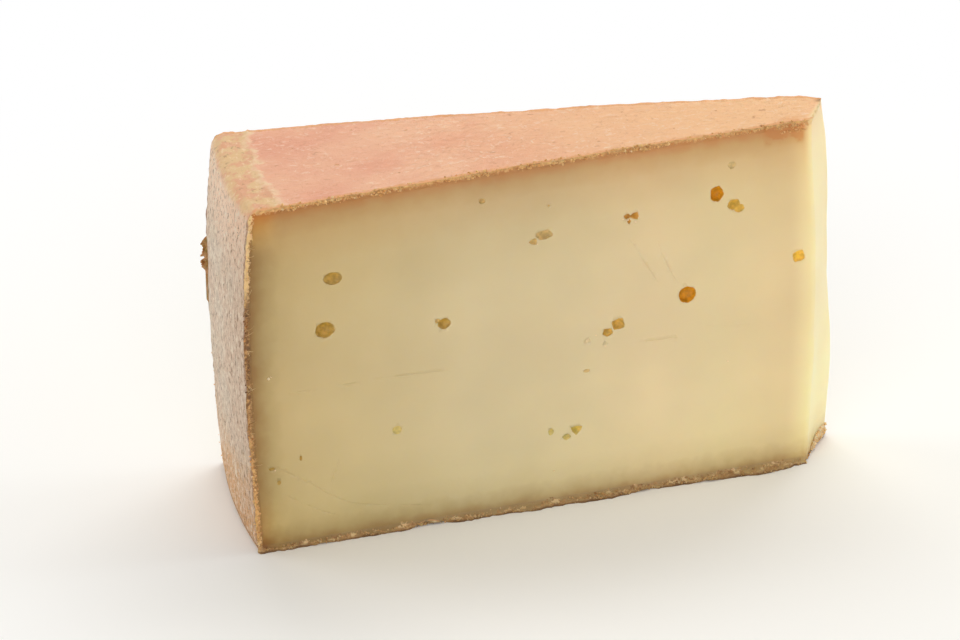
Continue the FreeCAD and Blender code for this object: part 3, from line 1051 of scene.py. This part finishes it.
def addReadings(body):  # distances in millimetres and colours that the materials read
    data = body.data
    for name in ("near", "ends", "rindPart"):
        data.attributes.new(name, "FLOAT_VECTOR", "POINT")
    data.attributes.new("eyeTint", "FLOAT_COLOR", "POINT")
    near, ends, part, paints = (
        data.attributes[name].data for name in ("near", "ends", "rindPart", "eyeTint")
    )
    spots = {
        isFront: [(cutSpot(isFront, eye[0], eye[1])[0], eye[2] * mm, eye[8]) for eye in eyes]
        for isFront, eyes in ((True, frontEyes), (False, backEyes))
    }
    inEye = {number for face in data.polygons if face.material_index == 2 for number in face.vertices}
    for number, vertex in enumerate(data.vertices):
        place = vertex.co - wheelAxis
        radius = hypot(place.x, place.y)
        top = topHeight(radius)
        fromHeel = heelRadius(place.z) - radius
        fromTop = top - place.z
        turn = atan2(place.y, -place.x) + wheel["angle"] / 2
        isFront, depth = insideCut(turn, radius, swell(place.z / top, wheel["cutBulge"]))
        turn = clamp(turn, 0, wheel["angle"])
        fromNose = radius - noseRadius(turn) + swell(place.z / top, wheel["noseBulge"])
        near[number].vector = (fromHeel / mm, place.z / mm, fromTop / mm)
        ends[number].vector = (fromNose / mm, depth / mm, turn / wheel["angle"])
        onHeel = ease(0.0006, 0.0028, fromTop) * (1 - ease(0.0008, 0.0020, fromHeel))
        onBase = 1 - ease(0.0002, 0.0012, place.z)
        part[number].vector = (onHeel, onBase, fromRim(radius))
        if number in inEye:
            paints[number].color = eyeTint(vertex.co, depth, spots[isFront])


def makeWedge():
    mesh, shares = makeBlank()
    carveRelief(mesh, shares)
    markFaces(mesh, shares)
    body = meshObject("cheeseWedge", mesh, makePaste(), makeRind(), makeEyeWall(), makePit())
    for group in (0, 1):
        takeOut(body, makeCutter(group, body.data.materials))
    addReadings(body)
    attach(body, "root")
    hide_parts("cheese_wedge")
    return body


makeWedge()
print("wedge cut")


# Crumbs that the knife tore out of the rind, along every edge of the cuts.
crumbs = {
    "seed": 11,
    "size": 0.00040,
    "heelSize": 0.00032,
    "sizeSpread": 0.5,
    "sink": 0.30,           # share of a crumb's size that lies inside the wedge
    "scatter": 0.00026,
    "lengths": {"heel": 73, "top": 123, "base": 123},       # millimetres of edge that they lie along
    "perMillimetre": {"heel": 2.2, "top": 6.4, "base": 3.0},
    "heelStart": 2,         # millimetres up the heel
    "backHeelEnd": 0.35,    # share of the back heel edge that has crumbs
    "frontGap": 0.6,        # millimetres free of them at the nose
    "backGap": 5.5,
    "onTop": 0.35,          # share of the front top crumbs that lie on the rind's edge
    # pale specks of paste on the front cut: millimetres from the heel and up, width
    "frontFlecks": [
        (83.2, 64.1, 0.55), (84.9, 63.3, 0.40), (82.2, 64.3, 0.35), (106.1, 27.6, 0.35), (66.4, 7.9, 0.40),
        (3.0, 40.4, 0.60), (3.5, 40.7, 0.45), (75.8, 38.6, 0.40), (62.9, 61.6, 0.40), (3.9, 18.9, 0.40),
    ],
    "dulled": (0.74, 0.82, 0.92, 1),      # what the crumbs at the table are multiplied by
    "noseTop": 34,
    "noseFoot": 30,
    "noseLumps": 84,
    "lumpSize": 0.0012,
    # paint by tone, from the darkest crumbs to the palest
    "colours": [
        (0.0, tint(92, 60, 32)), (0.25, tint(160, 101, 52)), (0.5, tint(230, 168, 100)),
        (0.75, tint(248, 202, 138)), (1.0, tint(254, 228, 188)),
    ],
}


def edgeSpot(edge, isFront, share):  # a place on a cut's edge, its facing, and the tone of crumbs there
    if edge == "heel":
        height = crumbs["heelStart"] + crumbs["lengths"]["heel"] * share
        along = fromRim(heelRadius(height * mm)) + 0.25
        start, full, fading, end = paste["darkCrust"]
        middle = ease(start, full, height) * (1 - ease(fading, end, height))
        tone = blend(0.80 if height > 50 else 0.68, 0.12, middle)
    else:
        nose = fromRim(noseRadius(cutTurn(isFront)))
        gap = crumbs["frontGap"] if isFront else crumbs["backGap"]
        along = blend(7.0 if edge == "top" else 1.5, nose - gap, share)
        top = topHeight(wheel["radius"] - along * mm) / mm
        height = top - 0.55 if edge == "top" else 0.50
        tone = 0.60 if edge == "top" else 0.56
    place, facing, _ = cutSpot(isFront, along, height)
    return place, facing, tone


def addCrumb(mesh, toneLayer, place, size, tone, chance):
    made = bmesh.ops.create_icosphere(mesh, subdivisions=1, radius=size / 2)["verts"]
    stretch = threeOf(chance.uniform, 0.6, 1.35)
    turned = Euler(threeOf(chance.uniform, 0, 6.28)).to_matrix()
    for vertex in made:
        vertex.co = place + turned @ (vertex.co * chance.uniform(0.75, 1.25) * stretch)
        vertex[toneLayer] = clamp(tone + chance.uniform(-0.06, 0.06))


def edgeCrumb(edge, isFront, chance):  # place, size and tone, or nothing where the edge is bare
    share = chance.random()
    place, facing, tone = edgeSpot(edge, isFront, share)
    clumped = noise.noise(place * 260)
    isBare = edge == "heel" and not isFront and share > crumbs["backHeelEnd"]
    if clumped < chance.uniform(-0.5, 0.2) or isBare:
        return None
    size = crumbs["heelSize"] if edge == "heel" else crumbs["size"]
    size *= 1 + crumbs["sizeSpread"] * chance.uniform(-1, 1) + 0.6 * clumped
    jitter = threeOf(chance.gauss, 0, crumbs["scatter"])
    jitter -= facing * jitter.dot(facing)
    place += jitter + facing * size * (0.5 - crumbs["sink"]) * chance.uniform(0.1, 1)
    radius = radiusAt(place)
    highest = wheelAxis.z + topHeight(radius) + topLift(place, radius) - 0.65 * size
    if edge == "top" and isFront and chance.random() < crumbs["onTop"]:
        place -= facing * chance.uniform(0.1, 0.8) * mm
        place.z = highest + 0.75 * size
    else:
        place.z = clamp(place.z, wheelAxis.z + 0.8 * size, highest)
    if edge == "base":
        place += footPush(isFront, radius, place.z) * facing
    return place, size, tone + chance.gauss(0, 0.10)


def everyCrumb(chance):  # one at a time, since the draws that shape each crumb come between them
    for isFront in (True, False):
        for edge, length in crumbs["lengths"].items():
            for _ in range(int(length * crumbs["perMillimetre"][edge])):
                yield edgeCrumb(edge, isFront, chance)
    for _ in range(crumbs["noseTop"]):      # a thicker crust at the nose's upper front corner
        along = fromRim(wheel["noseFront"]) - chance.uniform(0.7, 7.5)
        top = topHeight(wheel["radius"] - along * mm) / mm
        place, facing, _ = cutSpot(True, along, top - chance.uniform(0.6, 2.3))
        size = crumbs["size"] * chance.uniform(0.6, 1.2)
        yield place + 0.1 * size * facing, size, 0.62 + chance.gauss(0, 0.08)
    for along, height, width in crumbs["frontFlecks"]:
        place, facing, _ = cutSpot(True, along, height)
        yield place + facing * 0.1 * width * mm, width * mm, 1.0
    for _ in range(crumbs["noseFoot"]):
        across = chance.uniform(0.02, 0.98)
        place = wedgePoint(1, across, 0) - outward(wheel["angle"] * across) * 0.0001 + up * 0.0004
        size = crumbs["size"] * chance.uniform(0.7, 1.4)
        yield place, size, 0.55 + chance.gauss(0, 0.12)
    for _ in range(crumbs["noseLumps"]):    # a torn lump of base rind at the foot of the nose
        across = chance.uniform(0.32, 0.93)
        height = chance.uniform(0, 0.0025) * ease(0.2, 0.6, across) + 0.0005
        place = wedgePoint(1, across, height / wheel["height"]) - outward(wheel["angle"] * across) * 0.0001
        size = crumbs["lumpSize"] * chance.uniform(0.5, 1.15)
        place.z = max(place.z, wheelAxis.z + 0.8 * size)
        yield place, size, 0.78 + chance.gauss(0, 0.13)


def makeCrumbs():
    chance = random.Random(crumbs["seed"])
    mesh = bmesh.new()
    toneLayer = mesh.verts.layers.float.new("tone")
    for crumb in everyCrumb(chance):
        if crumb:
            addCrumb(mesh, toneLayer, *crumb, chance)
    bmesh.ops.recalc_face_normals(mesh, faces=mesh.faces)
    material, tree = newMaterial("rindCrumb")
    place = objectPlace(tree)
    mottle = spread(-0.08, 0.08, noiseAt(place, 2500, 2))
    tone = plus(readAttribute(tree, "tone", "Fac"), mottle, clampIt=True)
    along, _, height = splitUp(place)
    dull = times(ramp(height, 0.0019, 0.0013), ramp(along, 0.061, 0.058))
    colour = stained(gradient(tone, crumbs["colours"]), crumbs["dulled"], dull)
    finishMaterial(material, colour, rind, noiseAt(place, 3000, 2))
    made = meshObject("rindCrumbs", mesh, material)
    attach(made, "root")


makeCrumbs()
print("crumbs laid")


# Short fibres of the cloth that the wheel was wrapped in, along the heel's cut edges.
fibres = {
    "seed": 5,
    "count": 46,
    "thickness": 0.00005,
    "length": 0.0018,
    "curl": 0.5,
    "lifts": ((0, -0.0001), (0.35, 0.0003), (0.7, 0.00045), (1, 0.0002)),   # off the cut, by share of length
    "pale": tint(226, 196, 142),
    "brown": tint(182, 140, 84),
}


def makeFibres():
    chance = random.Random(fibres["seed"])
    mesh = bmesh.new()
    for number in range(fibres["count"]):
        isFront = number % 2 == 0
        place, facing, _ = edgeSpot("heel", isFront, chance.uniform(0.25, 0.95))
        reach = fibres["length"] * chance.uniform(0.5, 1.4)
        noseward = -outward(cutTurn(isFront))
        heading = (noseward * chance.uniform(0.2, 1) + up * chance.uniform(-0.9, 0.6)).normalized()
        bend = threeOf(chance.uniform, -1, 1) * fibres["curl"] * reach
        bend -= facing * min(0.0, bend.dot(facing))
        points = [
            (place + heading * reach * share + facing * lift + bend * share * (1 - share), 1.0)
            for share, lift in fibres["lifts"]
        ]
        addTube(mesh, points, fibres["thickness"], 0, 4)
    bmesh.ops.remove_doubles(mesh, verts=mesh.verts, dist=0.0001 * mm)
    bmesh.ops.recalc_face_normals(mesh, faces=mesh.faces)
    material, tree = newMaterial("rindFibre")
    shade = spread(0, 1, noiseAt(objectPlace(tree), 400, 2))
    finishMaterial(material, mixColour(shade, fibres["pale"], fibres["brown"]), rind)
    made = meshObject("rindFibres", mesh, material)
    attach(made, "root")


makeFibres()
print("fibres laid")


# A torn flake of dry rind that stands out behind the heel's back edge.
flake = {
    "seed": 3,
    "low": 38.6,            # millimetres up the heel
    "neck": 48.0,           # above this it is frayed and wide
    "high": 55.8,
    "width": 0.0017,
    "stripWidth": 0.00085,
    "thickness": 0.00030,
    "sink": 0.00025,
    "ruffle": 0.0004,
    "droop": 0.0006,
    "rows": 56,
    "columns": 5,
    "dark": tint(104, 54, 22),
    "light": tint(190, 126, 64),
}


def makeFlake():
    chance = random.Random(flake["seed"])
    turn = wheel["angle"] - 0.004
    out = outward(turn)
    mesh = bmesh.new()
    bmesh.ops.create_grid(mesh, x_segments=flake["columns"], y_segments=flake["rows"], size=0.5)
    widths = [chance.uniform(0.5, 1.15) for _ in range(flake["rows"] + 1)]
    for vertex in mesh.verts:
        across = vertex.co.x + 0.5
        level = vertex.co.y + 0.5
        widest = widths[round(level * flake["rows"])]
        height = blend(flake["low"], flake["high"], level) * mm
        frayed = ease(flake["neck"] - 1.5, flake["neck"] + 0.8, height / mm)
        ends = min(1.0, level * 12, (1 - level) * 9)
        width = blend(flake["stripWidth"], flake["width"] * widest, frayed) * ends
        ruffle = noise.noise(Vector((across * 3, height * 900, 4.0))) * across * (0.3 + frayed)
        droop = flake["droop"] * across * across * frayed * widest
        vertex.co = wheelAxis + (heelRadius(height) - flake["sink"] + width * across) * out
        vertex.co += flake["ruffle"] * ruffle * sideways(turn) + (height - droop) * up
    bmesh.ops.solidify(mesh, geom=mesh.faces[:], thickness=flake["thickness"])
    bmesh.ops.recalc_face_normals(mesh, faces=mesh.faces)
    material, tree = newMaterial("dryRind")
    place = objectPlace(tree)
    patch = spread(0, 1, noiseAt(stretched(place, (900, 900, 500)), 1, 3, 0.6))
    colour = mixColour(patch, flake["dark"], flake["light"])
    finishMaterial(material, colour, rind, noiseAt(place, 1500, 3))
    made = meshObject("tornFlake", mesh, material)
    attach(made, "root")


makeFlake()
print("flake set")


# Light and floor
studio = {
    "middle": (0, 0, 0.04),
    "floorColour": tint(250, 249, 246),
    "floorDrop": 0.00002,       # the floor lies this far under the base
    "fadeFrom": 0.09,           # from here out the floor fades to the white behind it
    "fadeTo": 0.26,
    "skyStrength": 0.42,
    "skyColour": tint(255, 254, 252),
}
# name: place from the wedge's middle, width, height, watts, colour
lamps = {
    "backKey": ((0.20, 0.51, 0.80), 0.8, 0.5, 4.5, tint(255, 254, 251)),
    "frontFill": ((-0.30, -0.85, 0.38), 0.8, 0.45, 3.52, tint(255, 254, 251)),
    "noseSide": ((0.85, 0.05, 0.30), 0.4, 0.5, 1.95, tint(252, 254, 255)),
    "heelSide": ((-0.68, 0.34, 0.42), 0.4, 0.5, 1.2, tint(253, 253, 255)),
}


def makeLamps():
    for name, (offset, width, height, power, colour) in lamps.items():
        light = bpy.data.lights.new(name, "AREA")
        light.shape = "RECTANGLE"
        light.size = width
        light.size_y = height
        light.energy = power
        light.color = colour[:3]
        holder = bpy.data.objects.new(name, light)
        bpy.context.collection.objects.link(holder)
        holder.location = Vector(studio["middle"]) + Vector(offset)
        holder.rotation_euler = Vector(offset).to_track_quat("Z", "Y").to_euler()
        holder.visible_camera = False


def makeSky():  # soft light, and plain white where the camera or a mirror sees it
    world = bpy.data.worlds.new("studioSky")
    bpy.context.scene.world = world
    world.use_nodes = True
    tree = world.node_tree
    tree.nodes.clear()
    rays = addNode(tree, "ShaderNodeLightPath").outputs
    seen = maths("MAXIMUM", rays["Is Camera Ray"], rays["Is Glossy Ray"], rays["Is Transmission Ray"])
    soft = socketOf(tree, "ShaderNodeBackground", 0, {0: studio["skyColour"], 1: studio["skyStrength"]})
    bright = socketOf(tree, "ShaderNodeBackground", 0, {0: white, 1: 1.0})
    both = socketOf(tree, "ShaderNodeMixShader", 0, {0: seen, 1: soft, 2: bright})
    addNode(tree, "ShaderNodeOutputWorld", {"Surface": both})


def makeFloor():
    mesh = bmesh.new()
    bmesh.ops.create_grid(mesh, x_segments=2, y_segments=2, size=6)
    bmesh.ops.translate(mesh, vec=(0, 0, wheelAxis.z - studio["floorDrop"]), verts=mesh.verts)
    material, tree = newMaterial("paleTable")
    away = socketOf(tree, "ShaderNodeVectorMath", "Value", {0: objectPlace(tree)}, operation="LENGTH")
    isSeen = socketOf(tree, "ShaderNodeLightPath", "Is Camera Ray")
    seen = times(ramp(away, studio["fadeFrom"], studio["fadeTo"]), isSeen)
    matt = socketOf(tree, "ShaderNodeBsdfDiffuse", 0, {"Color": studio["floorColour"]})
    glow = socketOf(tree, "ShaderNodeEmission", 0, {"Color": white, "Strength": 1.0})
    both = socketOf(tree, "ShaderNodeMixShader", 0, {0: seen, 1: matt, 2: glow})
    addNode(tree, "ShaderNodeOutputMaterial", {"Surface": both})
    table = meshObject("tableTop", mesh, material)


makeLamps()
makeSky()
makeFloor()
bpy.context.scene.view_settings.view_transform = "Standard"
print("studio lit")
